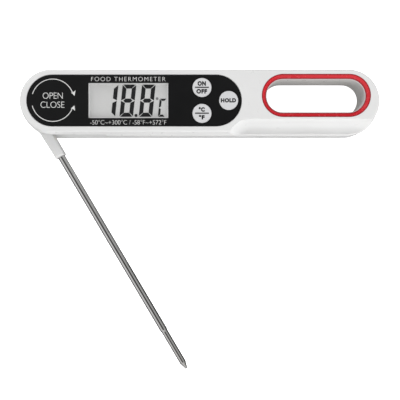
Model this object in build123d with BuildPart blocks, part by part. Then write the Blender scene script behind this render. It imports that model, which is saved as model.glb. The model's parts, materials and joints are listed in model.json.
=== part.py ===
"""Folding digital food thermometer, in millimetres.

The case lies on its flat back, face up. The origin is on the hinge axis, in the plane of the back.
+X runs along the case to the hanging hole, +Y is up the display, and +Z points out of the face.
The steel probe is drawn part open; it folds into a channel in the lower edge of the case.
"""

import os
from math import atan2, cos, degrees, pi, radians, sin, tan

from build123d import *

# ---------------------------------------------------------------- driving dimensions

# Case: two shells that meet in the middle of its thickness.
case_thickness = 18.0
split_z = case_thickness / 2
case_left_x = -0.9
case_right_x = 128.2
case_radius = 15.0
face_radius = 13.45
draft = degrees(atan2(case_radius - face_radius, case_thickness - split_z))
wall = 1.6
front_edge_round = 1.0
back_edge_round = 0.9
reach = 40.0

# Face label in its shallow pocket.
label_left_x = -0.2
label_right_x = 70.7
label_radius = 11.1
label_thickness = 0.35
label_pocket_depth = 0.5
label_pocket_gap = 0.2
label_floor_z = case_thickness - label_pocket_depth
face_wall_z = 16.0

# Display.
display_x = 32.75
window_length = 34.6
window_width = 15.2
window_border = 0.45
lcd_length = 38.0
lcd_width = 17.4
lcd_bottom_z = 14.8
lcd_top_z = 15.95
lcd_frame_wall = 0.9
lcd_ledge = 1.2

# Buttons, listed as name: centre.
button_radius = 4.1
button_places = {"on_off": (64.65, 5.6), "unit": (64.65, -5.6), "hold": (76.2, 0.0)}
button_top_z = 18.35
button_flange = 0.8
button_gap = 0.1
button_travel = 0.4
button_edge_round = 0.25
plunger_radius = 0.9

# Circuit board.
board_left_x = 24.0
board_right_x = 84.0
board_low_y = -7.6
board_high_y = 9.0
board_bottom_z = 12.5
board_top_z = 13.5
board_screw_places = [(56.0, 5.4), (56.0, -5.4)]
board_screw_hole_radius = 0.85
board_boss_radius = 1.7
pilot_radius = 0.72
pilot_depth = 2.2

# Hanging hole and its coloured insert.
hole_x = 114.2
hole_y = 2.2
hole_straight = 28.6
hole_radius = 7.1
insert_radius = 9.3
insert_rim = 0.25
insert_depth = 1.8
insert_step = 0.3
insert_throat_radius = 7.4
insert_left_x = hole_x - hole_straight / 2
insert_right_x = hole_x + hole_straight / 2

# Finger scoop along the lower front edge of the handle.
scoop_start_x = 85.7
scoop_border_y = -8.1
scoop_floor_z = 11.9
scoop_radius = 4.6
scoop_rise = 14.0
scoop_lip_radius = 0.8
scoop_plan_radius = 10.05
scoop_border_round = 0.35

# Hinge: a flat hub between the shells, turning on two hollow trunnions.
arm_angle = -59.4
hub_radius = 13.1
hub_thickness = 7.6
hub_bottom_z = split_z - hub_thickness / 2
hub_top_z = split_z + hub_thickness / 2
hub_gap = 0.3
hub_wall = 1.8
trunnion_radius = 4.5
trunnion_length = 2.2
trunnion_bore_radius = 1.6
pivot_gap = 0.05
seal_cord_radius = 0.6
seal_groove_gap = 0.1
outer_arm_round = 0.8

# Arm and probe, measured along the probe and sideways from the hinge.
arm_end = 21.5
arm_outer = -13.1
arm_outer_end = -12.5
arm_inner = -8.3
probe_offset = -10.35
probe_radius = 1.62
probe_bore_radius = 1.2
probe_start = 7.5
probe_neck = 111.0
probe_tip_radius = 1.42
probe_tip_wall = 0.35
probe_cone_start = 127.8
probe_end = 131.1
probe_point_radius = 0.45
lead_radius = 0.5

# Channel that takes the folded probe.
channel_half_height = 1.9
channel_inner_y = -8.2
channel_end_x = 133.5
pocket_end_x = 22.4
pocket_inner_y = -7.9

# Room for the electronics.
bay_left_x = 15.5
bay_right_x = 89.4
bay_low_y = -7.0
bay_high_y = 13.0
display_bay_left_x = 12.7
display_bay_low_y = -10.3
display_bay_high_y = 9.6
button_bay_x = 72.0
button_bay_low_y = -6.2
side_bay_right_x = 86.4
side_bay_high_y = 12.2

# Battery and its cover.
cell_x = 40.0
cell_y = 1.0
cell_radius = 10.0
cell_thickness = 3.2
cover_radius = 12.5
cover_gap = 0.1
cover_thickness = 1.4
cover_bottom_z = 0.1
cover_ledge_bottom_z = 2.1
cover_ledge_top_z = 3.4
cover_mouth_radius = 10.9
collar_outer_radius = 10.8
collar_inner_radius = 10.15
lug_radius = 11.8
lug_half_angle = 15.0
cover_turn = 45.0
cover_play = 0.2
lug_thickness = 1.0
coin_slot_length = 13.0
coin_slot_width = 2.0
coin_slot_depth = 0.8
cell_bottom_z = cover_bottom_z + cover_thickness + 0.05
cell_top_z = cell_bottom_z + cell_thickness

# Case screws.
screw_places = [(56.5, 11.0), (88.0, 9.5), (88.0, -4.6), (139.3, 2.3), (19.3, -4.9)]
screw_head_radius = 1.9
screw_shank_radius = 0.95
screw_head_height = 1.3
screw_seat_z = 3.2
screw_end_z = 12.2
screw_gap = 0.2
thread_gap = 0.02
boss_radius = 2.0
boss_wall = 0.9
hinge_boss_left_x = 17.3
hinge_boss_right_x = 21.3

# Small screws of the board and of the arm.
small_head_radius = 1.4
small_head_height = 0.9
small_shank_radius = 0.7

# Magnet in the back.
magnet_x = 70.5
magnet_y = 2.0
magnet_radius = 7.0
magnet_bottom_z = 1.05
magnet_thickness = 2.0

# ---------------------------------------------------------------- shared shapes

arm_direction = Vector(cos(radians(arm_angle)), sin(radians(arm_angle)), 0)
arm_side = Vector(-sin(radians(arm_angle)), cos(radians(arm_angle)), 0)


def level(z):
    """Horizontal plane at height z, in the case's directions."""
    return Plane.XY.offset(z)


def arm_level(z):
    """Horizontal plane at height z whose X runs along the probe."""
    return Plane(origin=(0, 0, z), x_dir=arm_direction, z_dir=(0, 0, 1))


def arm_point(along, side, z):
    """Point given along the probe, sideways from the hinge, and in height."""
    return arm_direction * along + arm_side * side + Vector(0, 0, z)


def stadium(left_x, right_x, y, radius):
    """Straight-sided outline with round ends, by its two end centres."""
    with Locations(((left_x + right_x) / 2, y)):
        SlotCenterToCenter(right_x - left_x, 2 * radius)


def span(low_x, high_x, low_y, high_y):
    """Rectangle between two X values and two Y values."""
    with Locations(((low_x + high_x) / 2, (low_y + high_y) / 2)):
        Rectangle(high_x - low_x, high_y - low_y)


def discs(places, radius):
    """Circles of one radius at a list of places."""
    with Locations(*places):
        Circle(radius)


def save(builder, name):
    """Label a finished piece and write its STEP file."""
    builder.part.label = name
    export_step(builder.part, f"parts/{name}.step")


def cut_hanging_hole(low_z, height):
    """Cut the hanging hole through the shell being made."""
    with BuildSketch(level(low_z)) as outline:
        stadium(insert_left_x, insert_right_x, hole_y, hole_radius)
    extrude(outline.sketch, amount=height, mode=Mode.SUBTRACT)


def cut_hub_and_arm_room(low_z, height):
    """Cut the round room for the hub, the open left end and the folded arm's pocket."""
    with BuildSketch(level(low_z)) as outline:
        Circle(hub_radius + hub_gap)
        span(-reach, 0, -reach, reach)
        span(0, pocket_end_x, -reach, pocket_inner_y)
    extrude(outline.sketch, amount=height, mode=Mode.SUBTRACT)


def cut_channel(low_z, height):
    """Cut half of the channel for the folded probe, open to the lower edge."""
    with BuildSketch(level(low_z)) as outline:
        span(0, channel_end_x, -reach, channel_inner_y)
    extrude(outline.sketch, amount=height, mode=Mode.SUBTRACT)


def cut_trunnion_seat(face_z, direction):
    """Cut the bearing of a trunnion and the groove of its seal, into the shell from face_z."""
    with BuildSketch(level(face_z)) as outline:
        Circle(trunnion_radius + pivot_gap)
    extrude(outline.sketch, amount=direction * (hub_gap + trunnion_length), mode=Mode.SUBTRACT)
    with BuildSketch(level(face_z)) as outline:
        Circle(trunnion_radius + 2 * seal_cord_radius + pivot_gap + seal_groove_gap)
    extrude(outline.sketch, amount=direction * (2 * seal_cord_radius + seal_groove_gap), mode=Mode.SUBTRACT)


def screw(place, low_z, head_radius, head_height, shank_radius, top_z):
    """Self-tapping screw with its head down and a driver cross in the head."""
    with BuildSketch(level(low_z)) as outline:
        discs([place], head_radius)
    extrude(outline.sketch, amount=head_height)
    with BuildSketch(level(low_z + head_height)) as outline:
        discs([place], shank_radius)
    extrude(outline.sketch, amount=top_z - low_z - head_height)
    with BuildSketch(level(low_z)) as outline:
        with Locations(place):
            Rectangle(1.3 * head_radius, 0.28 * head_radius)
            Rectangle(0.28 * head_radius, 1.3 * head_radius)
    extrude(outline.sketch, amount=0.5 * head_height, mode=Mode.SUBTRACT)


os.makedirs("parts", exist_ok=True)

# ---------------------------------------------------------------- front shell

upper_bay_height = face_wall_z - board_top_z
window_inner_length = window_length - 2 * window_border
window_inner_width = window_width - 2 * window_border
insert_bottom_z = case_thickness - insert_depth
hub_room_top_z = hub_top_z + hub_gap
lead_room_z = hub_top_z + trunnion_length - 0.2
lead_room_height = 1.4
lead_exit = (13.0, 11.0)
lead_slot_end_x = 20.0
lead_slot_width = 2.4

with BuildPart() as front_shell:
    with BuildSketch(level(split_z)):
        stadium(case_left_x, case_right_x, 0, case_radius)
    extrude(amount=case_thickness - split_z, taper=draft)
    fillet(front_shell.faces().sort_by(Axis.Z)[-1].edges(), front_edge_round)
    # Scoop: a cove that rises to a rounded lip; its left end turns down and out of the lower edge.
    with BuildSketch(Plane.YZ.offset(scoop_start_x)) as scoop_profile:
        with BuildLine():
            cove_start = (scoop_border_y, scoop_floor_z + scoop_radius)
            cove = JernArc(cove_start, (0, -1), scoop_radius, -90 - scoop_rise)
            lip = JernArc(cove @ 1, cove % 1, scoop_lip_radius, 80 + scoop_rise)
            lip_z = (lip @ 1).Y
            Polyline(
                lip @ 1,
                (scoop_border_y - scoop_plan_radius, lip_z),
                (scoop_border_y - scoop_plan_radius, case_thickness + 1),
                (scoop_border_y, case_thickness + 1),
                cove_start,
            )
        make_face()
    extrude(amount=reach + reach, mode=Mode.SUBTRACT)
    scoop_axis = Axis((scoop_start_x, scoop_border_y - scoop_plan_radius, 0), (0, 0, 1))
    revolve(scoop_profile.sketch, axis=scoop_axis, revolution_arc=100, mode=Mode.SUBTRACT)
    scoop_end_edges = front_shell.edges().filter_by(GeomType.CIRCLE).filter_by(
        lambda edge: abs(edge.radius - scoop_plan_radius) < 0.01
    )
    fillet(scoop_end_edges.sort_by(Axis.Z)[-1], scoop_border_round)
    # Label pocket, display window and button holes.
    with BuildSketch(level(label_floor_z)):
        stadium(label_left_x, label_right_x, 0, label_radius + label_pocket_gap)
    extrude(amount=label_pocket_depth, mode=Mode.SUBTRACT)
    with BuildSketch(level(board_top_z)):
        with Locations((display_x, 0)):
            Rectangle(window_inner_length, window_inner_width)
        discs(button_places.values(), button_radius + button_gap)
    extrude(amount=label_floor_z - board_top_z, mode=Mode.SUBTRACT)
    # Room behind the face for the display, narrower beside the scoop, and below it for the board.
    with BuildSketch(level(board_top_z)):
        span(display_bay_left_x, button_bay_x, display_bay_low_y, display_bay_high_y)
        span(button_bay_x, bay_right_x, button_bay_low_y, display_bay_high_y)
        span(bay_left_x, side_bay_right_x, 0, side_bay_high_y)
    extrude(amount=upper_bay_height, mode=Mode.SUBTRACT)
    with BuildSketch(level(split_z)):
        span(bay_left_x, bay_right_x, bay_low_y, side_bay_high_y)
    extrude(amount=board_top_z - split_z, mode=Mode.SUBTRACT)
    with BuildSketch(level(board_bottom_z - 0.1)):
        span(board_left_x - 0.3, board_right_x + 0.3, board_low_y - 0.2, 0)
    extrude(amount=board_top_z - board_bottom_z + 0.1, mode=Mode.SUBTRACT)
    # Bosses for the case screws and the board screws.
    with BuildSketch(level(split_z)):
        discs(screw_places[:3], boss_radius)
    extrude(amount=face_wall_z - split_z)
    with BuildSketch(level(split_z)):
        discs(screw_places[4:], boss_radius)
        span(hinge_boss_left_x, hinge_boss_right_x, pocket_inner_y + 0.4, screw_places[4][1])
    extrude(amount=board_top_z - 0.2 - split_z)
    with BuildSketch(level(board_top_z)):
        discs(board_screw_places, board_boss_radius)
    extrude(amount=upper_bay_height)
    with BuildSketch(level(board_top_z)):
        discs(board_screw_places, pilot_radius)
    extrude(amount=pilot_depth, mode=Mode.SUBTRACT)
    with BuildSketch(level(split_z)):
        discs(screw_places, screw_shank_radius + thread_gap)
    extrude(amount=screw_end_z + 0.3 - split_z, mode=Mode.SUBTRACT)
    # Hinge room, probe channel and the leads' way to the display room.
    cut_hub_and_arm_room(split_z, hub_room_top_z - split_z)
    cut_channel(split_z, channel_half_height)
    cut_trunnion_seat(hub_room_top_z, 1)
    with BuildSketch(level(lead_room_z)):
        Circle(trunnion_radius - 0.5)
        with BuildLine():
            Polyline((0, 0), lead_exit, (lead_slot_end_x, lead_exit[1]))
        trace(line_width=lead_slot_width)
    extrude(amount=lead_room_height, mode=Mode.SUBTRACT)
    # Hanging hole and the seat of its insert.
    cut_hanging_hole(split_z, case_thickness)
    with BuildSketch(level(insert_bottom_z)):
        stadium(insert_left_x, insert_right_x, hole_y, insert_radius + 0.05)
    extrude(amount=insert_depth, mode=Mode.SUBTRACT)
save(front_shell, "front_shell")

# ---------------------------------------------------------------- back shell

hub_room_bottom_z = hub_bottom_z - hub_gap

with BuildPart() as back_shell:
    with BuildSketch(level(0)):
        stadium(case_left_x, case_right_x, 0, case_radius)
    extrude(amount=split_z)
    fillet(back_shell.faces().sort_by(Axis.Z)[0].edges(), back_edge_round)
    with BuildSketch(level(wall)):
        span(bay_left_x, bay_right_x, bay_low_y, bay_high_y)
    extrude(amount=split_z - wall, mode=Mode.SUBTRACT)
    # Bosses for the case screws, with sunk seats for their heads.
    with BuildSketch(level(wall)):
        discs(screw_places[:3], boss_radius + boss_wall)
        discs(screw_places[4:], boss_radius + boss_wall)
    extrude(amount=split_z - wall)
    with BuildSketch(level(0)):
        discs(screw_places, screw_shank_radius + screw_gap)
    extrude(amount=split_z, mode=Mode.SUBTRACT)
    with BuildSketch(level(0)):
        discs(screw_places, screw_head_radius + screw_gap)
    extrude(amount=screw_seat_z, mode=Mode.SUBTRACT)
    # Battery well: recess for the cover, a ledge that its lugs hook behind, and room for the cell.
    with BuildSketch(level(wall)):
        discs([(cell_x, cell_y)], cover_radius + 1.0)
    extrude(amount=cover_ledge_top_z - wall)
    with BuildSketch(level(0)):
        discs([(cell_x, cell_y)], cover_radius + cover_gap)
    extrude(amount=cover_ledge_bottom_z, mode=Mode.SUBTRACT)
    with BuildSketch(level(cover_ledge_bottom_z)):
        discs([(cell_x, cell_y)], cover_mouth_radius)
    extrude(amount=cover_ledge_top_z - cover_ledge_bottom_z, mode=Mode.SUBTRACT)
    with BuildSketch(level(cover_ledge_top_z)):
        discs([(cell_x, cell_y)], lug_radius + cover_play)
    extrude(amount=cell_top_z + 0.5 - cover_ledge_top_z, mode=Mode.SUBTRACT)
    # Notches in the ledge that let the lugs in when the cover is turned back.
    notch_reach = lug_radius + cover_play
    notch_half = notch_reach * sin(radians(lug_half_angle + 2))
    for notch_angle in (cover_turn, cover_turn + 180):
        notch_plane = Plane(
            origin=(cell_x, cell_y, cover_ledge_bottom_z),
            x_dir=(cos(radians(notch_angle)), sin(radians(notch_angle)), 0),
            z_dir=(0, 0, 1),
        )
        with BuildSketch(notch_plane):
            span(0, reach, -notch_half, notch_half)
            Circle(notch_reach, mode=Mode.INTERSECT)
        extrude(amount=cover_ledge_top_z - cover_ledge_bottom_z, mode=Mode.SUBTRACT)
    # Magnet pocket.
    with BuildSketch(level(magnet_bottom_z)):
        discs([(magnet_x, magnet_y)], magnet_radius + 0.05)
    extrude(amount=magnet_thickness, mode=Mode.SUBTRACT)
    # Hinge room, probe channel and hanging hole.
    cut_hub_and_arm_room(hub_room_bottom_z, split_z - hub_room_bottom_z)
    cut_channel(split_z - channel_half_height, channel_half_height)
    cut_trunnion_seat(hub_room_bottom_z, -1)
    cut_hanging_hole(0, case_thickness)
save(back_shell, "back_shell")

# ---------------------------------------------------------------- face

with BuildPart() as face_label:
    with BuildSketch(level(label_floor_z)):
        stadium(label_left_x, label_right_x, 0, label_radius)
        with Locations((display_x, 0)):
            Rectangle(window_length, window_width, mode=Mode.SUBTRACT)
        with Locations(*button_places.values()):
            Circle(button_radius + button_gap, mode=Mode.SUBTRACT)
    extrude(amount=label_thickness)
save(face_label, "face_label")

with BuildPart() as display_window:
    with BuildSketch(level(lcd_top_z + 0.1)):
        with Locations((display_x, 0)):
            Rectangle(window_inner_length - 0.06, window_inner_width - 0.06)
    extrude(amount=label_floor_z - lcd_top_z)
save(display_window, "display_window")

with BuildPart() as lcd_panel:
    with BuildSketch(level(lcd_bottom_z)):
        with Locations((display_x, 0)):
            Rectangle(lcd_length, lcd_width)
    extrude(amount=lcd_top_z - lcd_bottom_z)
save(lcd_panel, "lcd_panel")

# The frame holds the glass by its rim and stands on the board.
with BuildPart() as lcd_frame:
    with BuildSketch(level(board_top_z)):
        with Locations((display_x, 0)):
            Rectangle(lcd_length + 2 * lcd_frame_wall, lcd_width + 2 * lcd_frame_wall - 0.7)
    extrude(amount=lcd_top_z - board_top_z)
    with BuildSketch(level(lcd_bottom_z - 0.05)):
        with Locations((display_x, 0)):
            Rectangle(lcd_length + 0.2, lcd_width + 0.2)
    extrude(amount=case_thickness, mode=Mode.SUBTRACT)
    with BuildSketch(level(board_top_z)):
        with Locations((display_x, 0)):
            Rectangle(lcd_length - 2 * lcd_ledge, lcd_width - 2 * lcd_ledge)
    extrude(amount=case_thickness, mode=Mode.SUBTRACT)
save(lcd_frame, "lcd_frame")

# Conductive rubber strip between the board's contacts and the glass.
with BuildPart() as zebra_strip:
    with BuildSketch(level(board_top_z)):
        span(board_left_x + 1, lcd_length + 11, 5.6, 7.0)
    extrude(amount=lcd_bottom_z - board_top_z)
save(zebra_strip, "zebra_strip")

# ---------------------------------------------------------------- board

with BuildPart() as circuit_board:
    with BuildSketch(level(board_bottom_z)):
        span(board_left_x, board_right_x, board_low_y, board_high_y)
        with Locations(*board_screw_places):
            Circle(board_screw_hole_radius, mode=Mode.SUBTRACT)
    extrude(amount=board_top_z - board_bottom_z)
save(circuit_board, "circuit_board")

# Potted controller: a low dome of resin under the board.
with BuildPart() as controller_chip:
    with BuildSketch(level(board_bottom_z)):
        with Locations((66.0, 1.2)):
            Circle(4.2)
    extrude(amount=-1.2, taper=25)
    fillet(controller_chip.faces().sort_by(Axis.Z)[0].edges(), 0.8)
save(controller_chip, "controller_chip")

with BuildPart() as board_components:
    with BuildSketch(level(board_bottom_z)):
        with Locations((75.5, 5.5), (75.5, 2.5), (75.5, -1.0), (75.5, -4.0), (60.0, -4.5), (48.0, 6.5)):
            Rectangle(2.0, 1.25)
    extrude(amount=-0.6)
    with BuildSketch(level(board_bottom_z)):
        with Locations((80.0, 4.0)):
            Rectangle(2.4, 6.0)
    extrude(amount=-1.6)
save(board_components, "board_components")

# Self-tapping screws that hold the board up against the front shell.
with BuildPart() as board_screws:
    for board_screw_place in board_screw_places:
        screw(
            board_screw_place,
            board_bottom_z - small_head_height,
            small_head_radius,
            small_head_height,
            small_shank_radius,
            face_wall_z - 0.5,
        )
save(board_screws, "board_screws")

# Three tact switches; their plungers move with the buttons.
switch_side = 4.4
switch_height = 1.2
plunger_floor_z = board_top_z + 0.25
plunger_bottom_z = plunger_floor_z + button_travel + 0.1
button_bottom_z = face_wall_z - 0.05 - button_flange

with BuildPart() as tact_switches:
    with BuildSketch(level(board_top_z)):
        with Locations(*button_places.values()):
            Rectangle(switch_side, switch_side)
    extrude(amount=switch_height)
    with BuildSketch(level(plunger_floor_z)):
        discs(button_places.values(), plunger_radius + 0.06)
    extrude(amount=switch_height, mode=Mode.SUBTRACT)
save(tact_switches, "tact_switches")

for button_name, button_place in button_places.items():
    with BuildPart() as plunger:
        with BuildSketch(level(plunger_bottom_z)):
            discs([button_place], plunger_radius)
        extrude(amount=button_bottom_z - plunger_bottom_z)
    save(plunger, f"{button_name}_plunger")
    with BuildPart() as button:
        with BuildSketch(level(button_bottom_z)):
            discs([button_place], button_radius)
        extrude(amount=button_top_z - button_bottom_z)
        fillet(button.faces().sort_by(Axis.Z)[-1].edges(), button_edge_round)
        with BuildSketch(level(button_bottom_z)):
            discs([button_place], button_radius + 0.45)
        extrude(amount=button_flange)
    save(button, f"{button_name}_button")

# ---------------------------------------------------------------- battery

with BuildPart() as coin_cell:
    with BuildSketch(level(cell_bottom_z)):
        discs([(cell_x, cell_y)], cell_radius)
    extrude(amount=cell_thickness - 0.35)
    fillet(coin_cell.edges().sort_by(Axis.Z)[0], 0.4)
    with BuildSketch(level(cell_top_z - 0.35)):
        discs([(cell_x, cell_y)], cell_radius - 1.3)
    extrude(amount=0.35)
save(coin_cell, "coin_cell")

# Strip that touches the rim of the cell and steps inwards up to the board.
strip_thickness = 0.3
rim_y = cell_y + cell_radius + 0.04
with BuildPart() as positive_contact:
    with BuildSketch(Plane.YZ.offset(cell_x - 2.0)):
        with BuildLine():
            FilletPolyline(
                (rim_y + 0.15, cover_ledge_top_z + 0.3),
                (rim_y + 0.15, 8.0),
                (8.0, 8.0),
                (8.0, board_bottom_z),
                radius=0.6,
            )
        trace(line_width=strip_thickness)
    extrude(amount=4.0)
save(positive_contact, "positive_contact")

# Spring tongue that presses on the middle of the cell.
with BuildPart() as negative_contact:
    with BuildSketch(Plane.XZ.offset(-cell_y - 1.75)):
        with BuildLine():
            FilletPolyline(
                (42.5, cell_top_z + 0.6),
                (40.0, cell_top_z + 0.2),
                (35.0, 8.0),
                (28.5, 8.0),
                (28.5, board_bottom_z),
                radius=0.6,
            )
        trace(line_width=strip_thickness)
    extrude(amount=3.5)
save(negative_contact, "negative_contact")

# Cover: a flat cap with a coin slot, a collar round the cell and two bayonet lugs.
with BuildPart() as battery_cover:
    with BuildSketch(level(cover_bottom_z)):
        discs([(cell_x, cell_y)], cover_radius)
    extrude(amount=cover_thickness)
    chamfer(battery_cover.edges().sort_by(Axis.Z)[0], 0.3)
    with BuildSketch(level(cover_bottom_z + cover_thickness)):
        discs([(cell_x, cell_y)], collar_outer_radius)
        with Locations((cell_x, cell_y)):
            Circle(collar_inner_radius, mode=Mode.SUBTRACT)
    extrude(amount=cover_ledge_top_z + 0.1 - cover_bottom_z - cover_thickness)
    lug_half = lug_radius * sin(radians(lug_half_angle))
    with BuildSketch(Plane(origin=(cell_x, cell_y, cover_ledge_top_z + 0.1))):
        Rectangle(2 * reach, 2 * lug_half)
        Circle(lug_radius, mode=Mode.INTERSECT)
        Circle(collar_inner_radius, mode=Mode.SUBTRACT)
    extrude(amount=lug_thickness)
    with BuildSketch(level(cover_bottom_z)):
        with Locations((cell_x, cell_y)):
            SlotOverall(coin_slot_length, coin_slot_width)
    extrude(amount=coin_slot_depth, mode=Mode.SUBTRACT)
save(battery_cover, "battery_cover")

with BuildPart() as battery_seal:
    with BuildSketch(level(cover_bottom_z + cover_thickness)):
        discs([(cell_x, cell_y)], cover_radius - 0.2)
        with Locations((cell_x, cell_y)):
            Circle(cover_radius - 1.2, mode=Mode.SUBTRACT)
    extrude(amount=cover_ledge_bottom_z - cover_bottom_z - cover_thickness - 0.03)
save(battery_seal, "battery_seal")

# ---------------------------------------------------------------- handle

with BuildPart() as ring_insert:
    with BuildSketch(level(insert_bottom_z)):
        stadium(insert_left_x, insert_right_x, hole_y, insert_radius)
    extrude(amount=insert_depth - 0.05)
    with BuildSketch(level(insert_bottom_z)):
        stadium(insert_left_x, insert_right_x, hole_y, insert_throat_radius)
    extrude(amount=insert_step, mode=Mode.SUBTRACT)
    with BuildSketch(level(insert_bottom_z + insert_step)):
        stadium(insert_left_x, insert_right_x, hole_y, insert_throat_radius)
    with BuildSketch(level(case_thickness - 0.05)):
        stadium(insert_left_x, insert_right_x, hole_y, insert_radius - insert_rim)
    loft(mode=Mode.SUBTRACT)
save(ring_insert, "ring_insert")

with BuildPart() as magnet:
    with BuildSketch(level(magnet_bottom_z)):
        discs([(magnet_x, magnet_y)], magnet_radius)
    extrude(amount=magnet_thickness)
    chamfer(magnet.edges(), 0.2)
save(magnet, "magnet")

with BuildPart() as case_screws:
    for screw_place in screw_places:
        screw(
            screw_place,
            screw_seat_z - screw_head_height,
            screw_head_radius,
            screw_head_height,
            screw_shank_radius,
            screw_end_z,
        )
save(case_screws, "case_screws")

# ---------------------------------------------------------------- hinge and arm

hub_hollow_radius = hub_radius - hub_wall
hub_hollow_half_height = 2.3
arm_boss_radius = 1.9
arm_screw_places = [(4.2, 7.2), (-7.8, -2.8)]
collar_start = 4.0
collar_length = 2.9
collar_height = 0.45
collar_gap = 0.05


def arm_half(direction, name):
    """One half of the arm, above (1) or below (-1) the middle of the case."""
    bore_plane = Plane(
        origin=arm_point(probe_start, probe_offset, split_z),
        x_dir=arm_side,
        z_dir=arm_direction,
    )
    with BuildPart() as half:
        with BuildSketch(arm_level(split_z)) as plan:
            Circle(hub_radius)
            Polygon(
                (0, arm_outer),
                (arm_end, arm_outer_end),
                (arm_end, arm_inner),
                (0, arm_inner),
                align=None,
            )
        extrude(plan.sketch, amount=direction * hub_thickness / 2)
        outer_face = half.faces().sort_by(Axis.Z)[-1 if direction > 0 else 0]
        fillet(outer_face.edges(), outer_arm_round)
        # Hollow for the leads, with bosses for the screws.
        with BuildSketch(arm_level(split_z)) as hollow:
            Circle(hub_hollow_radius)
            with Locations((probe_start / 2, probe_offset)):
                Rectangle(probe_start, 2.2)
            with Locations(*arm_screw_places):
                Circle(arm_boss_radius, mode=Mode.SUBTRACT)
        extrude(hollow.sketch, amount=direction * hub_hollow_half_height, mode=Mode.SUBTRACT)
        # Seat of the probe tube and of the collar that anchors it.
        with BuildSketch(bore_plane) as tube_seat:
            Circle(probe_radius)
        extrude(tube_seat.sketch, amount=reach, mode=Mode.SUBTRACT)
        with BuildSketch(bore_plane.offset(collar_start)) as collar_seat:
            Circle(probe_radius + collar_height + collar_gap)
        extrude(collar_seat.sketch, amount=collar_length + 2 * collar_gap, mode=Mode.SUBTRACT)
        # Trunnion.
        with BuildSketch(arm_level(split_z + direction * hub_thickness / 2)) as trunnion:
            Circle(trunnion_radius)
        extrude(trunnion.sketch, amount=direction * trunnion_length)
        if direction > 0:
            with BuildSketch(arm_level(split_z)) as lead_bore:
                Circle(trunnion_bore_radius)
            extrude(lead_bore.sketch, amount=reach, mode=Mode.SUBTRACT)
            with BuildSketch(arm_level(split_z)) as screw_holes:
                discs(arm_screw_places, pilot_radius)
            extrude(screw_holes.sketch, amount=2.9, mode=Mode.SUBTRACT)
        else:
            with BuildSketch(arm_level(split_z)) as screw_holes:
                discs(arm_screw_places, 0.85)
            extrude(screw_holes.sketch, amount=-reach, mode=Mode.SUBTRACT)
            with BuildSketch(arm_level(hub_bottom_z)) as head_seats:
                discs(arm_screw_places, 1.5)
            extrude(head_seats.sketch, amount=1.1, mode=Mode.SUBTRACT)
    save(half, name)


arm_half(1, "arm_front_half")
arm_half(-1, "arm_back_half")

with BuildPart() as arm_screws:
    for along, side in arm_screw_places:
        seat = arm_point(along, side, 0)
        screw(
            (seat.X, seat.Y),
            hub_bottom_z + 0.2,
            small_head_radius,
            small_head_height,
            small_shank_radius,
            hub_top_z - 1.1,
        )
save(arm_screws, "arm_screws")

probe_axis = Axis(arm_point(0, probe_offset, split_z), arm_direction)
probe_plane = Plane(
    origin=arm_point(0, probe_offset, split_z),
    x_dir=arm_direction,
    z_dir=-arm_side,
)

# Steel tube, drawn down to a slimmer tip and closed in a blunt cone.
with BuildPart() as probe_tube:
    with BuildSketch(probe_plane):
        Polygon(
            (probe_start, probe_bore_radius),
            (probe_start, probe_radius),
            (probe_neck, probe_radius),
            (probe_neck + 0.9, probe_tip_radius),
            (probe_cone_start, probe_tip_radius),
            (probe_end, probe_point_radius),
            (probe_end, 0),
            (probe_cone_start, 0),
            (probe_cone_start - 1.0, probe_tip_radius - probe_tip_wall),
            (probe_neck, probe_tip_radius - probe_tip_wall),
            (probe_neck - 1.0, probe_bore_radius),
            align=None,
        )
    revolve(axis=probe_axis)
save(probe_tube, "probe_tube")

# Collar fixed on the tube, held between the halves of the arm.
collar_near = probe_start + collar_start + collar_gap
collar_far = collar_near + collar_length
with BuildPart() as probe_anchor:
    with BuildSketch(probe_plane):
        Polygon(
            (collar_near, probe_radius),
            (collar_near, probe_radius + collar_height),
            (collar_far, probe_radius + collar_height),
            (collar_far, probe_radius),
            align=None,
        )
    revolve(axis=probe_axis)
save(probe_anchor, "probe_anchor")

# Glass bead thermistor at the closed end of the tube.
bead_radius = 0.75
bead_end = probe_cone_start - 1.1
bead_length = 3.0
with BuildPart() as thermistor:
    with BuildSketch(probe_plane):
        with BuildLine():
            Line((bead_end - bead_length, 0), (bead_end, 0))
            Line((bead_end - bead_length, 0), (bead_end - bead_length, bead_radius))
            Line((bead_end - bead_length, bead_radius), (bead_end - bead_radius, bead_radius))
            CenterArc((bead_end - bead_radius, 0), bead_radius, 0, 90)
        make_face()
    revolve(axis=probe_axis)
save(thermistor, "thermistor")

# Leads: one jacketed pair down the tube and up through the front trunnion, then on to the board.
lead_join_z = 12.0
arm_lead_route = [
    arm_point(bead_end - bead_length, probe_offset, split_z),
    arm_point(3.0, probe_offset, split_z),
    arm_point(0, 0, split_z),
    Vector(0, 0, lead_join_z),
]
case_lead_route = [
    Vector(0, 0, lead_join_z),
    Vector(0, 0, 15.6),
    Vector(*lead_exit, 15.6),
    Vector(19.5, 11.1, 15.4),
    Vector(28.0, 10.8, board_bottom_z - lead_radius - 0.03),
    Vector(34.0, 4.5, board_bottom_z - lead_radius - 0.03),
]


def bend_radii(route, fraction=0.45):
    """Largest tidy bend at each corner of a route of straight runs."""
    runs = [end - start for start, end in zip(route, route[1:])]
    radii = []
    for before, after in zip(runs, runs[1:]):
        half_turn = radians(before.get_angle(after) / 2)
        radii.append(fraction * min(before.length, after.length) / tan(half_turn))
    return radii


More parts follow.
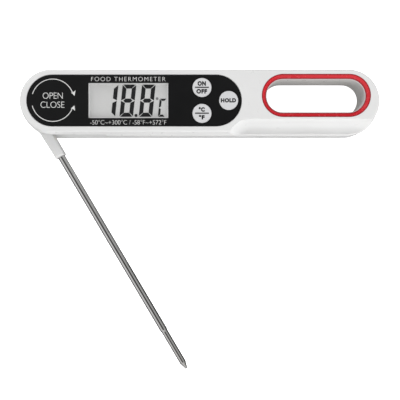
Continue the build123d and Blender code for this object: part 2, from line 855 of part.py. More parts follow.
def lead(route, name):
    """Round lead swept along straight runs joined by tangent arcs."""
    radii = bend_radii(route)
    with BuildPart() as wire:
        with BuildLine():
            path = FilletPolyline(*route, radius=radii)
        with BuildSketch(Plane(origin=path @ 0, z_dir=path % 0)) as section:
            Circle(lead_radius)
        sweep(section.sketch, path=path)
    fill = wire.part.volume / (pi * lead_radius**2 * path.length)
    print(name, "radii", [round(r, 1) for r in radii], "volume ratio", round(fill, 3))
    save(wire, name)


lead(arm_lead_route, "arm_leads")
lead(case_lead_route, "case_leads")

# Friction washer behind the hub, and a seal round each trunnion.
washer_inner_radius = 6.4
washer_outer_radius = 10.0
washer_thickness = 0.22
with BuildPart() as friction_washer:
    with BuildSketch(level(hub_room_bottom_z)):
        Circle(washer_outer_radius)
        Circle(washer_inner_radius, mode=Mode.SUBTRACT)
    extrude(amount=washer_thickness)
save(friction_washer, "friction_washer")

seal_ring_radius = trunnion_radius + pivot_gap + seal_cord_radius + 0.04
with BuildPart() as pivot_seals:
    for seal_z in (hub_room_top_z + seal_cord_radius + 0.05, hub_room_bottom_z - seal_cord_radius - 0.05):
        with BuildSketch(Plane.XZ):
            with Locations((seal_ring_radius, seal_z)):
                Circle(seal_cord_radius)
        revolve(axis=Axis.Z)
save(pivot_seals, "pivot_seals")
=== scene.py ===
"""Looks of the folding food thermometer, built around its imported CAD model.

The case lies on its back with its face up (+Z), +X runs along it to the hanging hole, and the
probe is part open. Lengths are metres, unless a name ends in _mm.
"""

import json
from math import cos, pi, radians, sin

import bmesh
import bpy
from mathutils import Matrix, Vector


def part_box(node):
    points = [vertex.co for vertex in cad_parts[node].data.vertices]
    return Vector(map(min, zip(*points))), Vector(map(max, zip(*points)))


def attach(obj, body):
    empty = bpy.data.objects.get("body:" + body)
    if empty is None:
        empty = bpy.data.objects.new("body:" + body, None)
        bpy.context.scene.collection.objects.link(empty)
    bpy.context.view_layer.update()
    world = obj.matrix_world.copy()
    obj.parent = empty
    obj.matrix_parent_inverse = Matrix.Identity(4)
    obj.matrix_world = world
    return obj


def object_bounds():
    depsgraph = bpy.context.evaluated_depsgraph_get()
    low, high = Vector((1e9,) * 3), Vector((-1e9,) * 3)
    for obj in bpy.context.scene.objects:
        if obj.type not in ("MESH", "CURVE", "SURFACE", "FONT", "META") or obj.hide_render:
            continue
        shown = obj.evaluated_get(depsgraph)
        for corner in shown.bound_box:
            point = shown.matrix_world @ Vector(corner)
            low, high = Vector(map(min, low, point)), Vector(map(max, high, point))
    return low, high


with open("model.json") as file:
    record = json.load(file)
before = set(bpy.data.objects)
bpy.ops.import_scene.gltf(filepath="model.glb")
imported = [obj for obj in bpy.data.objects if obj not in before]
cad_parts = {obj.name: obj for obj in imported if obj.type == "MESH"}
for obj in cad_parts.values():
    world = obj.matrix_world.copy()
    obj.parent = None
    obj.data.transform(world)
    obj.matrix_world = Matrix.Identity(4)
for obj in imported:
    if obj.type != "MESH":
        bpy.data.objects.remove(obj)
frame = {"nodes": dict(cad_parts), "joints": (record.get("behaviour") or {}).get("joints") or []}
cad_low, cad_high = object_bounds()
nodes = frame["nodes"]
MM = 0.001

# ---------------------------------------------------------------- places, read from the frame

label_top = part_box("face_label")[1].z
lcd_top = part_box("lcd_panel")[1].z
split_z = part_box("back_shell")[1].z
window_low, window_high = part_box("display_window")
ring_low, ring_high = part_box("ring_insert")
joints = {joint["name"]: joint for joint in frame["joints"]}

display_x = (window_low.x + window_high.x) / 2
ring_middle = (ring_low + ring_high) / 2
ring_outer = (ring_high.y - ring_low.y) / 2
# Radius of the insert's throat, which its box can't give. The hole's own wall is 0.3 mm inside it.
ring_inner = 7.4 * MM
hole_straight = ring_high.x - ring_low.x - 2 * ring_outer
probe_turn = radians(joints["probe_hinge"]["range_deg"][1])
ink_height = 0.02 * MM

# ---------------------------------------------------------------- camera, floor and light

camera_place = Vector((0.0638, -0.0431, 0.330))
camera_lens_mm = 64.85
camera_sensor_mm = 36.0
# A low view shows the floor's far edge only near the top of the picture, within camera_reach.
floor_half_width = 9.0
camera_reach = 20.0

# Greys of the studio dome, from the horizon at 0 to straight overhead at 1.
dome_greys = [(0.0, 0.16), (0.30, 0.50), (0.58, 1.0), (0.86, 0.72), (0.965, 0.06), (1.0, 0.04)]
dome_level = 0.88
dome_lean = 0.30
dome_bright_side = Vector((-0.876, -0.482, 0.0))


def new_object(name, data):
    """New object in the scene that shows data."""
    made = bpy.data.objects.new(name, data)
    bpy.context.scene.collection.objects.link(made)
    return made


def make_camera():
    """Looks straight down on the face, above a point between the case and the open probe."""
    data = bpy.data.cameras.new("camera")
    data.sensor_width = camera_sensor_mm
    data.lens = camera_lens_mm
    data.clip_start = 0.01
    data.clip_end = camera_reach
    camera = new_object("camera", data)
    camera.location = camera_place
    bpy.context.scene.camera = camera


def make_world():
    """Studio dome: dark overhead, bright around that, dim at the horizon, brighter on one side."""
    world = bpy.data.worlds.new("studio")
    world.use_nodes = True
    tree = world.node_tree
    tree.nodes.clear()
    direction = tree.nodes.new("ShaderNodeTexCoord").outputs["Generated"]
    parts = tree.nodes.new("ShaderNodeSeparateXYZ")
    ramp = tree.nodes.new("ShaderNodeValToRGB")
    glow = tree.nodes.new("ShaderNodeBackground")
    out = tree.nodes.new("ShaderNodeOutputWorld")
    elements = ramp.color_ramp.elements
    elements[0].position = dome_greys[0][0]
    elements[1].position = dome_greys[-1][0]
    for position, _ in dome_greys[1:-1]:
        elements.new(position)
    for element, (_, grey) in zip(elements, dome_greys):
        element.color = (grey, grey, grey, 1.0)
    side = tree.nodes.new("ShaderNodeVectorMath")
    side.operation = "DOT_PRODUCT"
    side.inputs[1].default_value = dome_bright_side * dome_lean
    level = tree.nodes.new("ShaderNodeMath")
    level.operation = "ADD"
    level.inputs[1].default_value = dome_level
    for start, end in (
        (direction, parts.inputs[0]),
        (direction, side.inputs[0]),
        (side.outputs["Value"], level.inputs[0]),
        (parts.outputs["Z"], ramp.inputs["Fac"]),
        (ramp.outputs["Color"], glow.inputs["Color"]),
        (level.outputs[0], glow.inputs["Strength"]),
        (glow.outputs[0], out.inputs[0]),
    ):
        tree.links.new(start, end)
    bpy.context.scene.world = world


def make_softbox(name, place, aim, watts, side):
    """Square soft light that stands at place and faces aim, left out of the reflections."""
    data = bpy.data.lights.new(name, "AREA")
    data.energy = watts
    data.size = side
    softbox = new_object(name, data)
    softbox.location = place
    softbox.rotation_euler = (Vector(aim) - Vector(place)).to_track_quat("-Z", "Y").to_euler()
    softbox.visible_glossy = False


def make_lights():
    """Main light at the front right, one behind on the left, a low one past the hanging hole."""
    make_softbox("key_light", (0.27, -0.42, 0.35), aim=(0.05, 0.0, 0.0), watts=2.40, side=0.50)
    make_softbox("back_light", (-0.25, 0.45, 0.20), aim=(0.0, 0.0, 0.0), watts=2.0, side=0.30)
    make_softbox("side_light", (0.60, 0.05, 0.10), aim=(0.06, 0.0, 0.0), watts=0.80, side=0.30)


def make_floor(name, depth, grey, glow):
    """Plain matt floor plate, depth below the back of the case, left out of the reflections."""
    half = floor_half_width
    mesh = bpy.data.meshes.new(name)
    corners = [(-half, -half, 0.0), (half, -half, 0.0), (half, half, 0.0), (-half, half, 0.0)]
    mesh.from_pydata(corners, [], [(0, 1, 2, 3)])
    floor = new_object(name, mesh)
    floor.location = (0.0, 0.0, cad_low.z - depth)
    paint = bpy.data.materials.new(name + "_paint")
    paint.use_nodes = True
    shader = paint.node_tree.nodes["Principled BSDF"]
    for key, value in (
        ("Base Color", (grey, grey, grey, 1.0)),
        ("Roughness", 1.0),
        ("Specular IOR Level", 0.0),
        ("Emission Color", (1.0, 1.0, 1.0, 1.0)),
        ("Emission Strength", glow),
    ):
        shader.inputs[key].default_value = value
    mesh.materials.append(paint)
    floor.visible_glossy = False
    return floor


def make_table():
    """White light table: a glowing sheet that is only seen, over a board that only throws light."""
    sheet = make_floor("floor_sheet", depth=0.05 * MM, grey=0.90, glow=1.0)
    sheet.visible_diffuse = False
    sheet.visible_shadow = False
    board = make_floor("floor_board", depth=0.10 * MM, grey=0.90, glow=0.25)
    board.visible_camera = False


# ---------------------------------------------------------------- material helpers

# How far apart the bands of a wave texture are at a scale of 1.
wave_period = 0.314
# A mix of two noises keeps to a narrower range than one noise.
mixed_range = dict(start=0.36, end=0.64)


def rgb(red, green, blue):
    return (red, green, blue, 1.0)


def shade(colour, factor):
    return (colour[0] * factor, colour[1] * factor, colour[2] * factor, 1.0)


class Graph:
    """The nodes of one material, with short names for what the materials here are made of."""

    def __init__(self, name):
        self.material = bpy.data.materials.new("thermometer_" + name)
        self.material.use_nodes = True
        self.tree = self.material.node_tree
        self.shader = self.tree.nodes["Principled BSDF"]
        self.place = self.tree.nodes.new("ShaderNodeTexCoord").outputs["Object"]

    def feed(self, socket, value):
        """Links the input to another node's output, or sets it to a plain value."""
        if isinstance(value, bpy.types.NodeSocket):
            self.tree.links.new(value, socket)
        else:
            socket.default_value = value

    def feed_all(self, node, inputs):
        for key, value in inputs.items():
            self.feed(node.inputs[key.replace("_", " ")], value)

    def node(self, kind, **inputs):
        """New node with these inputs, their names written with _ in place of spaces."""
        made = self.tree.nodes.new("ShaderNode" + kind)
        self.feed_all(made, inputs)
        return made

    def set(self, **inputs):
        """Gives the surface itself these inputs."""
        self.feed_all(self.shader, inputs)

    def stretch(self, scale=(1.0, 1.0, 1.0), turn=0.0, shift=(0.0, 0.0, 0.0)):
        """Object position scaled, turned about Z and shifted, for grain that runs one way."""
        turns = (0.0, 0.0, turn)
        made = self.node("Mapping", Vector=self.place, Location=shift, Rotation=turns, Scale=scale)
        return made.outputs["Vector"]

    def noise(self, size, detail=3.0, rough=0.55, where=None):
        """Noise whose features are about size metres across, 0 to 1."""
        where = where or self.place
        made = self.node("TexNoise", Vector=where, Scale=1.0 / size, Detail=detail, Roughness=rough)
        return made.outputs["Fac"]

    def spread(self, value, low, high, start=0.3, end=0.7):
        """Value between start and end, which suit a noise, mapped to low and high."""
        ends = dict(From_Min=start, From_Max=end, To_Min=low, To_Max=high)
        return self.node("MapRange", Value=value, **ends).outputs["Result"]

    def blend(self, share, first, second):
        """Colour from first to second as share goes from 0 to 1."""
        made = self.tree.nodes.new("ShaderNodeMix")
        made.data_type = "RGBA"
        self.feed_all(made, {"Factor": share, "A": first, "B": second})
        return [socket for socket in made.outputs if socket.type == "RGBA"][0]

    def mottle(self, noise, first, second, start=0.3, end=0.7):
        """Colour that wanders between first and second with a noise."""
        return self.blend(self.spread(noise, 0.0, 1.0, start, end), first, second)

    def math(self, operation, first, second=0.0):
        """Result of one sum, such as ADD or SQRT, on one or two values."""
        made = self.tree.nodes.new("ShaderNodeMath")
        made.operation = operation
        self.feed(made.inputs[0], first)
        self.feed(made.inputs[1], second)
        return made.outputs[0]

    def mix(self, first, second, share):
        """Sum of two values, of which the first has that share."""
        weighted = self.math("MULTIPLY", first, share), self.math("MULTIPLY", second, 1.0 - share)
        return self.math("ADD", *weighted)

    def bump(self, height, depth):
        """Surface relief of depth metres from a 0 to 1 height."""
        self.set(Normal=self.node("Bump", Height=height, Distance=depth).outputs["Normal"])

    def axes(self, where=None):
        """The coordinates of a position, by their letters."""
        return self.node("SeparateXYZ", Vector=where or self.place).outputs

    def near_height(self, height, half_width):
        """1 close to that height, falling to 0 half_width above and below it."""
        full_width = 0.4 * half_width
        offset = self.math("ABSOLUTE", self.math("SUBTRACT", self.axes()["Z"], height))
        return self.spread(offset, 1.0, 0.0, full_width, half_width)

    def hole_distance(self):
        """Distance in plan from the middle line of the hanging hole."""
        axes = self.axes()
        along = self.math("ABSOLUTE", self.math("SUBTRACT", axes["X"], ring_middle.x))
        past_end = self.math("MAXIMUM", self.math("SUBTRACT", along, hole_straight / 2))
        across = self.math("SUBTRACT", axes["Y"], ring_middle.y)
        squares = self.math("MULTIPLY", past_end, past_end), self.math("MULTIPLY", across, across)
        return self.math("SQRT", self.math("ADD", *squares))


# ---------------------------------------------------------------- materials of the parts


def white_plastic(name, tone):
    """Satin white ABS: orange peel, flow marks, painted shade on the hanging hole's inner wall and
    a line where the halves meet.
    """
    g = Graph(name)
    flow = g.noise(9.0 * MM, where=g.stretch((0.35, 1.0, 1.0)))
    skin = g.noise(0.45 * MM, detail=2.0)
    darker = shade((1.0, 1.0, 0.994), 0.98 * tone)
    lighter = shade((1.0, 1.0, 0.996), 1.02 * tone)
    # Painted shade: the hanging hole's inner wall is greyed, standing in for the shade of that deep
    # recess; the hole mask below picks out that wall.
    hole_painted_shade = shade((1.0, 0.985, 0.965), 0.84 * tone)
    seam_grey = rgb(0.33, 0.325, 0.315)
    seam_depth = 8.0
    clean = g.mottle(flow, darker, lighter)
    hole = g.spread(g.hole_distance(), 1.0, 0.0, ring_inner - 0.28 * MM, ring_inner - 0.22 * MM)
    seam = g.near_height(split_z, 0.09 * MM)
    g.set(Base_Color=g.blend(seam, g.blend(hole, clean, hole_painted_shade), seam_grey))
    g.set(Roughness=g.spread(g.noise(2.2 * MM), 0.27, 0.38), IOR=1.5)
    g.bump(g.math("SUBTRACT", skin, g.math("MULTIPLY", seam, seam_depth)), 0.004 * MM)
    return g.material


def black_label():
    """Printed polyester film over black ink, with a fine matt grain."""
    g = Graph("black_label")
    cloud = g.noise(7.0 * MM)
    grain = g.noise(0.16 * MM, detail=2.0)
    g.set(Base_Color=g.mottle(cloud, rgb(0.0050, 0.0050, 0.0053), rgb(0.0068, 0.0068, 0.0071)))
    g.set(Roughness=g.spread(grain, 0.28, 0.40), Specular_IOR_Level=0.3)
    g.bump(grain, 0.0025 * MM)
    return g.material


def clear_window():
    """Clear acrylic, polished, with the faintest wiping marks."""
    g = Graph("clear_window")
    wipe = g.noise(1.4 * MM, where=g.stretch((0.15, 1.0, 1.0), turn=0.5))
    g.set(Base_Color=rgb(0.05, 0.055, 0.055), Roughness=g.spread(wipe, 0.02, 0.07), Alpha=0.05)
    g.set(IOR=1.49)
    g.bump(wipe, 0.0004 * MM)
    return g.material


def lcd_glass():
    """Grey display that glows a little, as painted light that brightens it evenly: the fine grain
    of a reflector behind a polariser.
    """
    g = Graph("lcd_glass")
    grain = g.noise(0.10 * MM, detail=1.0, where=g.stretch((1.0, 0.5, 1.0)))
    cloud = g.noise(12.0 * MM)
    base = g.mottle(cloud, rgb(0.41, 0.41, 0.407), rgb(0.425, 0.425, 0.421))
    grey = g.blend(g.spread(grain, 0.0, 0.12), base, rgb(0.24, 0.24, 0.24))
    # The emission is painted light: it lifts the display's grey evenly, and the display is no lamp.
    g.set(Base_Color=grey, Emission_Color=grey, Emission_Strength=0.58)
    g.set(Roughness=g.spread(grain, 0.30, 0.42), Specular_IOR_Level=0.35)
    return g.material


def red_plastic():
    """Glossy red ABS insert, with painted shade along both edges, where a rounded edge would turn
    from the light.
    """
    g = Graph("red_plastic")
    flow = g.noise(6.0 * MM, where=g.stretch((0.5, 1.0, 1.0)))
    skin = g.noise(0.5 * MM, detail=2.0)
    red = g.mottle(flow, rgb(0.54, 0.012, 0.021), rgb(0.61, 0.017, 0.027))
    # Painted shade: the insert's outer and inner edges are darkened as a rounded edge would be
    # shaded.
    painted_edge_shade = rgb(0.27, 0.008, 0.015)
    fade_start, fade_end = 0.60 * MM, 0.20 * MM
    distance = g.hole_distance()
    outer = g.spread(distance, 0.0, 1.0, ring_outer - fade_start, ring_outer - fade_end)
    inner = g.spread(distance, 1.0, 0.0, ring_inner + fade_end, ring_inner + fade_start)
    g.set(Base_Color=g.blend(g.math("MAXIMUM", outer, inner), red, painted_edge_shade))
    g.set(Roughness=g.spread(g.noise(1.8 * MM), 0.20, 0.30), IOR=1.5)
    g.bump(skin, 0.004 * MM)
    return g.material


def button_plastic():
    """Light grey keys with a fine spark-eroded texture."""
    g = Graph("button_plastic")
    sparkle = g.noise(0.13 * MM, detail=2.0)
    cloud = g.noise(2.5 * MM)
    clean = g.mottle(cloud, rgb(0.57, 0.57, 0.58), rgb(0.605, 0.605, 0.615))
    g.set(Base_Color=g.blend(g.spread(sparkle, 0.0, 0.18), clean, rgb(0.69, 0.69, 0.70)))
    g.set(Roughness=g.spread(sparkle, 0.42, 0.60), Specular_IOR_Level=0.4)
    g.bump(sparkle, 0.006 * MM)
    return g.material


def brushed(name, dark, light, low_gloss, high_gloss):
    """Metal with fine lines along X, patches of shine and a few wider streaks."""
    g = Graph(name)
    lines = g.noise(0.12 * MM, detail=4.0, rough=0.6, where=g.stretch((0.03, 1.0, 1.0)))
    patches = g.noise(5.0 * MM, detail=2.0)
    mixed = g.mix(lines, patches, 0.7)
    g.set(Base_Color=g.mottle(mixed, dark, light, **mixed_range), Metallic=1.0)
    g.set(Roughness=g.spread(lines, low_gloss, high_gloss))
    g.bump(lines, 0.0012 * MM)
    return g.material


def probe_steel():
    """Drawn stainless tube: long fine streaks along it and slight heat colour towards the tip."""
    g = Graph("probe_steel")
    dark, light, heated = rgb(0.53, 0.525, 0.52), rgb(0.66, 0.655, 0.645), rgb(0.50, 0.485, 0.46)
    heat_start, heat_end = 0.095, 0.131
    along = g.stretch((0.012, 1.0, 1.0), probe_turn)
    streaks = g.noise(0.22 * MM, detail=4.0, rough=0.6, where=along)
    fine = g.noise(0.05 * MM, detail=2.0, where=along)
    patches = g.noise(6.0 * MM, detail=2.0)
    steel = g.mottle(g.mix(streaks, patches, 0.6), dark, light, **mixed_range)
    from_hinge = g.axes(g.stretch(turn=probe_turn))["X"]
    heat = g.spread(from_hinge, 0.0, 0.5, heat_start, heat_end)
    g.set(Base_Color=g.blend(heat, steel, heated), Metallic=1.0)
    g.set(Roughness=g.spread(fine, 0.05, 0.14))
    g.bump(fine, 0.0004 * MM)
    return g.material


def moulded(name, colour, roughness, relief=0.004 * MM):
    """Plain moulded or potted material with fine grain, cloudy colour and uneven gloss."""
    g = Graph(name)
    grain = g.noise(0.2 * MM)
    cloud = g.noise(3.0 * MM)
    g.set(Base_Color=g.mottle(cloud, shade(colour, 0.88), shade(colour, 1.12)))
    g.set(Roughness=g.spread(grain, roughness - 0.07, roughness + 0.07), Specular_IOR_Level=0.45)
    g.bump(grain, relief)
    return g.material


def board_laminate():
    """Green solder mask over copper tracks that run square to each other."""
    g = Graph("board_laminate")
    track_pitch = 4.0 * MM
    tracks = g.node(
        "TexBrick",
        Vector=g.stretch(),
        Scale=1.0 / track_pitch,
        Mortar_Size=0.06,
        Color1=rgb(0.012, 0.105, 0.04),
        Color2=rgb(0.014, 0.125, 0.045),
        Mortar=rgb(0.03, 0.24, 0.08),
    )
    g.set(Base_Color=tracks.outputs["Color"])
    g.set(Roughness=g.spread(g.noise(0.6 * MM), 0.25, 0.4))
    g.bump(tracks.outputs["Fac"], 0.02 * MM)
    return g.material


def conductive_rubber():
    """Silicone strip with alternating carbon and clear layers."""
    g = Graph("conductive_rubber")
    where = g.stretch((1.0, 0.0, 0.0))
    stripes = g.node("TexWave", Vector=where, Scale=1.0 / (2.0 * MM), Distortion=0.4)
    layers = stripes.outputs["Fac"]
    g.set(Base_Color=g.blend(layers, rgb(0.02, 0.02, 0.02), rgb(0.34, 0.33, 0.31)))
    g.set(Roughness=g.spread(g.noise(0.2 * MM), 0.5, 0.7))
    g.bump(layers, 0.01 * MM)
    return g.material


def turned(name, centre, dark, light):
    """Metal with rings round a vertical axis at centre, as a lathe or a press leaves it."""
    g = Graph(name)
    where = g.stretch((1.0, 1.0, 0.0), shift=(-centre.x, -centre.y, 0.0))
    pitch = 0.18 * MM
    scale = wave_period / pitch
    rings = g.node("TexWave", Vector=where, Scale=scale, Distortion=1.5, Detail=3.0)
    rings.wave_type = "RINGS"
    rings.rings_direction = "Z"
    patches = g.noise(2.0 * MM)
    g.set(Base_Color=g.blend(g.mix(rings.outputs["Fac"], patches, 0.4), dark, light), Metallic=1.0)
    g.set(Roughness=g.spread(patches, 0.22, 0.38))
    g.bump(rings.outputs["Fac"], 0.002 * MM)
    return g.material


def ink(name, colour, roughness):
    """Screen-printed ink: slightly uneven cover and a soft, pebbled surface."""
    g = Graph(name)
    grain = g.noise(0.09 * MM, detail=2.0)
    cover = g.noise(0.6 * MM)
    g.set(Base_Color=g.mottle(cover, shade(colour, 0.93), shade(colour, 1.04)))
    g.set(Roughness=g.spread(grain, roughness - 0.06, roughness + 0.06), Specular_IOR_Level=0.35)
    g.bump(grain, 0.003 * MM)
    return g.material


def node_middle(name):
    low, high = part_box(name)
    return (low + high) / 2


# Grey level of the white plastic. The arm's is a little darker than the case's, as in the photo:
# painted shade, a shaded copy of the same plastic.
case_tone = 0.70
arm_painted_shade_tone = 0.665

# Colour and roughness of each plain moulding, and its relief where it isn't the usual one.
mouldings = {
    "frame_plastic": (rgb(0.72, 0.72, 0.71), 0.5),
    "black_resin": (rgb(0.022, 0.022, 0.023), 0.45),
    "lead_jacket": (rgb(0.42, 0.42, 0.42), 0.55),
    "black_rubber": (rgb(0.02, 0.02, 0.02), 0.65, 0.01 * MM),
    "bead_glass": (rgb(0.2, 0.1, 0.05), 0.2, 0.001 * MM),
}

# Dark and light colour of each brushed metal, and its lowest and highest roughness.
brushed_metals = {
    "zinc_steel": (rgb(0.42, 0.42, 0.41), rgb(0.62, 0.62, 0.60), 0.25, 0.42),
    "contact_metal": (rgb(0.55, 0.53, 0.47), rgb(0.7, 0.68, 0.62), 0.2, 0.35),
    "collar_brass": (rgb(0.52, 0.39, 0.18), rgb(0.72, 0.58, 0.3), 0.2, 0.35),
}

# Node whose middle the rings of each turned metal run round, and its dark and light colour.
turned_metals = {
    "cell_steel": ("coin_cell", rgb(0.5, 0.5, 0.49), rgb(0.68, 0.68, 0.67)),
    "magnet_metal": ("magnet", rgb(0.48, 0.48, 0.5), rgb(0.64, 0.64, 0.66)),
}


def dress_nodes():
    """Gives every CAD node its material, by the slot that the record names."""
    made = {
        "white_plastic": white_plastic("white_plastic", case_tone),
        "black_label": black_label(),
        "clear_window": clear_window(),
        "lcd_glass": lcd_glass(),
        "conductive_rubber": conductive_rubber(),
        "board_laminate": board_laminate(),
        "red_plastic": red_plastic(),
        "button_plastic": button_plastic(),
        "probe_steel": probe_steel(),
    }
    for name, look in mouldings.items():
        made[name] = moulded(name, *look)
    for name, look in brushed_metals.items():
        made[name] = brushed(name, *look)
    for name, (node, dark, light) in turned_metals.items():
        made[name] = turned(name, node_middle(node), dark, light)
    for node in nodes.values():
        for slot in node.material_slots:
            slot.material = made[slot.material.name]
    # The arm halves get a darker copy of the white plastic: painted shade.
    arm_painted_shade_plastic = white_plastic("arm_painted_shade_plastic", arm_painted_shade_tone)
    for name in ("arm_front_half", "arm_back_half"):
        nodes[name].material_slots[0].material = arm_painted_shade_plastic


# ---------------------------------------------------------------- printed marks

# How far apart letters may stand, as a share of the font's spacing, and what bold strokes add.
tightest_spacing = 0.95
loosest_spacing = 1.5
spacing_for_weight = 3.0
# How finely a letter's curves are cut, and how close two of its points may be before they merge.
letter_curve_steps = 6
same_point = 0.2e-6
# Stroke weights, in letter sizes.
thin_strokes = -0.012
bold_strokes = 0.065


def add_piece(name, mesh, material, body):
    """Links a finished mesh as a piece that rides on a body."""
    piece = new_object(name, mesh)
    mesh.materials.clear()
    mesh.materials.append(material)
    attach(piece, body)


def plates(name, outlines, bottom, material, body):
    """One piece made of printed plates, each given by its outline, anticlockwise from above."""
    top = bottom + ink_height
    shape = bmesh.new()
    for outline in outlines:
        lower = [shape.verts.new((x, y, bottom)) for x, y in outline]
        upper = [shape.verts.new((x, y, top)) for x, y in outline]
        shape.faces.new(upper)
        shape.faces.new(list(reversed(lower)))
        for i in range(len(outline)):
            j = (i + 1) % len(outline)
            shape.faces.new((lower[i], lower[j], upper[j], upper[i]))
    bmesh.ops.recalc_face_normals(shape, faces=shape.faces)
    mesh = bpy.data.meshes.new(name)
    shape.to_mesh(mesh)
    shape.free()
    add_piece(name, mesh, material, body)


def flat_text(words, weight, spacing):
    """Mesh of flat letters of size 1 with its lowest and highest corners, bold by weight."""
    text = bpy.data.curves.new("words", "FONT")
    text.body = words
    text.offset = weight
    text.space_character = spacing
    text.resolution_u = letter_curve_steps
    holder = new_object("words", text)
    bpy.context.view_layer.update()
    seen = bpy.context.evaluated_depsgraph_get()
    mesh = bpy.data.meshes.new_from_object(holder.evaluated_get(seen))
    bpy.data.objects.remove(holder)
    low = Vector([min(v.co[i] for v in mesh.vertices) for i in range(3)])
    high = Vector([max(v.co[i] for v in mesh.vertices) for i in range(3)])
    return mesh, low, high


def best_spacing(words, weight, width, height, loosest):
    """Letter spacing at which the words fill width by height without a stretch, or nearly so."""
    _, low, high = flat_text(words, weight, 1.0)
    _, loose_low, loose_high = flat_text(words, weight, loosest_spacing)
    wanted = width * (high.y - low.y) / height
    gain = (loose_high.x - loose_low.x - high.x + low.x) / (loosest_spacing - 1.0)
    spacing = 1.0 + (wanted - high.x + low.x) / gain
    tightest = tightest_spacing + spacing_for_weight * max(weight, 0.0)
    return min(max(spacing, tightest), loosest)


def lettering(name, words, middle, size, bottom, material, body, weight, loosest=loosest_spacing):
    """Printed words about their middle, bold by weight. Their size is a width and a height."""
    width, height = size
    spacing = best_spacing(words, weight, width, height, loosest)
    mesh, low, high = flat_text(words, weight, spacing)
    fit = Matrix.Diagonal((width / (high.x - low.x), height / (high.y - low.y), 1.0, 1.0))
    place = Matrix.Translation((middle[0], middle[1], bottom))
    mesh.transform(place @ fit @ Matrix.Translation(-(low + high) / 2))
    shape = bmesh.new()
    shape.from_mesh(mesh)
    bmesh.ops.remove_doubles(shape, verts=shape.verts, dist=same_point)
    grown = bmesh.ops.extrude_face_region(shape, geom=shape.faces[:])
    raised = [part for part in grown["geom"] if isinstance(part, bmesh.types.BMVert)]
    bmesh.ops.translate(shape, verts=raised, vec=(0.0, 0.0, ink_height))
    bmesh.ops.recalc_face_normals(shape, faces=shape.faces)
    shape.to_mesh(mesh)
    shape.free()
    mesh.name = name
    add_piece(name, mesh, material, body)


def bar(middle, width, height):
    """Outline of an upright rectangle."""
    x, y = middle
    w, h = width / 2, height / 2
    return [(x - w, y - h), (x + w, y - h), (x + w, y + h), (x - w, y + h)]


def around(middle, points):
    """Places of points that are given as a radius and an angle about middle."""
    x, y = middle
    return [(x + radius * cos(turn), y + radius * sin(turn)) for radius, turn in points]


def disc(middle, radius):
    """Outline of a round dot."""
    steps = 28
    return around(middle, [(radius, 2 * pi * i / steps) for i in range(steps)])


def arc_arrow(middle, radius, stroke, start, end, head_length, head_width):
    """Outlines of an arc from start degrees to a barbed head whose point is at end degrees."""
    steps = 40
    notch = 0.78
    head_offset = 0.22
    way = 1.0 if end > start else -1.0
    head_turn = way * head_length / radius
    first, last = radians(start), radians(end)
    back = last - head_turn
    neck = last - notch * head_turn
    inner = radius - stroke / 2
    outer = radius + stroke / 2
    strip = []
    for i in range(steps):
        a = first + (neck - first) * i / steps
        b = first + (neck - first) * (i + 1) / steps
        strip.append(around(middle, [(inner, a), (outer, a), (outer, b), (inner, b)]))
    head_radius = radius + head_offset * head_width
    inner_barb = (head_radius - head_width / 2, back)
    outer_barb = (head_radius + head_width / 2, back)
    strip.append(around(middle, [(radius, neck), inner_barb, (head_radius, last), outer_barb]))
    return strip


def print_face(white):
    """White print on the black label: the arrows, the two words, the title and the range."""
    centre = (0.0, 0.12 * MM)
    arrow = dict(radius=9.18 * MM, stroke=0.32 * MM, head_length=1.9 * MM, head_width=2.15 * MM)
    for name, start, end in (("arrow_open", 163, 11.5), ("arrow_close", 195, 346.5)):
        outlines = arc_arrow(centre, start=start, end=end, **arrow)
        plates(name, outlines, label_top, white, "case")
    limits = "-50°C~+300°C / -58°F~+572°F"
    for name, words, middle, size in (
        ("word_open", "OPEN", (0.0, 2.1 * MM), (8.7 * MM, 2.7 * MM)),
        ("word_close", "CLOSE", (-0.1 * MM, -1.8 * MM), (10.4 * MM, 2.7 * MM)),
        ("title_line", "FOOD THERMOMETER", (display_x, 9.3 * MM), (32.2 * MM, 1.86 * MM)),
        ("range_line", limits, (display_x, -9.4 * MM), (33.0 * MM, 2.0 * MM)),
    ):
        lettering(name, words, middle, size, label_top, white, "case", thin_strokes)


def print_keys(black):
    """Black print on the three keys: words above and below a bar, and one word."""
    def top_middle(name):
        low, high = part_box(name)
        return (low.x + high.x) / 2, (low.y + high.y) / 2, high.z

    bold = dict(weight=bold_strokes, loosest=1.15)
    left = 0.1 * MM
    line_gap = 1.68 * MM
    upper_height = 2.05 * MM
    lower_height = 2.0 * MM
    bar_rise = 0.05 * MM
    bar_size = (6.0 * MM, 0.5 * MM)
    for key, upper, lower, upper_width, lower_width in (
        ("on_off", "ON", "OFF", 3.6 * MM, 4.6 * MM),
        ("unit", "°C", "°F", 2.6 * MM, 2.5 * MM),
    ):
        x, y, z = top_middle(key + "_button")
        print_on = dict(bottom=z, material=black, body=key + "_key")
        plates(key + "_bar", [bar((x, y + bar_rise), *bar_size)], **print_on)
        above, below = (x - left, y + line_gap), (x - left, y - line_gap)
        lettering(key + "_upper", upper, above, (upper_width, upper_height), **print_on, **bold)
        lettering(key + "_lower", lower, below, (lower_width, lower_height), **print_on, **bold)
    x, y, z = top_middle("hold_button")
    size = (6.6 * MM, 1.85 * MM)
    lettering("hold_word", "HOLD", (x - left, y), size, z, black, "hold_key", **bold)


# ---------------------------------------------------------------- display segments

right_segments = ("upper_right", "lower_right")
letter_segments = ("top", "bottom", "upper_left", "lower_left")
all_segments = (
    "top", "bottom", "upper_left", "upper_right", "lower_left", "lower_right", "middle",
)


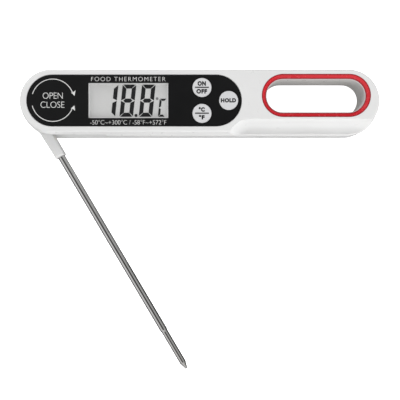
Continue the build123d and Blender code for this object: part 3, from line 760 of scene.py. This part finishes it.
def segment_outlines(width, height, thick, gap, shown):
    """Outlines of the shown segments of one upright digit, its lower left corner at the origin."""
    w, h, t = width, height, thick
    m = h / 2  # height of the middle line
    c = t / 2  # half a segment
    s = gap / 2  # half a gap
    e = s + t * 0.1  # how far an outer corner is cut back
    full = {
        "top": [(e, h), (w - e, h), (w - t - s, h - t), (t + s, h - t)],
        "bottom": [(t + s, t), (w - t - s, t), (w - e, 0), (e, 0)],
        "upper_left": [(0, h - e), (t, h - t - s), (t, m + c + s), (0, m + s)],
        "upper_right": [(w, h - e), (w, m + s), (w - t, m + c + s), (w - t, h - t - s)],
        "lower_left": [(0, e), (0, m - s), (t, m - c - s), (t, t + s)],
        "lower_right": [(w, e), (w - t, t + s), (w - t, m - c - s), (w, m - s)],
        "middle": [
            (c + s, m), (t + s, m + c), (w - t - s, m + c),
            (w - c - s, m), (w - t - s, m - c), (t + s, m - c),
        ],
    }
    outlines = []
    for name in shown:
        points = full[name]
        area = sum(a[0] * b[1] - b[0] * a[1] for a, b in zip(points, points[1:] + points[:1]))
        outlines.append(points if area > 0 else points[::-1])
    return outlines


def draw_display(dark, faint):
    """The reading on the display: three slanted digits, a point, the unit and a degree sign."""
    lean = 0.105
    low_y = -6.84 * MM
    digit = dict(width=5.95 * MM, height=14.1 * MM, thick=1.8 * MM, gap=0.16 * MM)
    letter = dict(width=3.1 * MM, height=7.9 * MM, thick=0.95 * MM, gap=0.12 * MM)
    one = segment_outlines(shown=right_segments, **digit)
    eight = segment_outlines(shown=all_segments, **digit)
    unit = segment_outlines(shown=letter_segments, **letter)

    def slanted(outlines, x):
        return [[(x + px + lean * py, low_y + py) for px, py in line] for line in outlines]

    for name, outlines, material in (
        ("digit_hundreds", slanted(one, 20.85 * MM), dark),
        ("digit_tens", slanted(eight, 28.65 * MM), dark),
        ("digit_units", slanted(eight, 37.05 * MM), dark),
        ("decimal_point", [disc((35.9 * MM, -6.27 * MM), 0.68 * MM)], dark),
        ("unit_letter", slanted(unit, 45.4 * MM), dark),
        ("degree_mark", [disc((45.1 * MM, 1.09 * MM), 0.62 * MM)], faint),
    ):
        plates(name, outlines, lcd_top, material, "case")


# ---------------------------------------------------------------- build

make_camera()
make_world()
make_lights()
make_table()
dress_nodes()
print_face(ink("white_ink", rgb(0.66, 0.66, 0.65), 0.5))
print_keys(ink("black_ink", rgb(0.006, 0.006, 0.007), 0.5))
segment_ink = ink("segment_ink", rgb(0.010, 0.010, 0.011), 0.45)
faint_ink = ink("faint_ink", rgb(0.20, 0.20, 0.20), 0.45)
draw_display(segment_ink, faint_ink)

scene = bpy.context.scene
scene.view_settings.view_transform = "Standard"
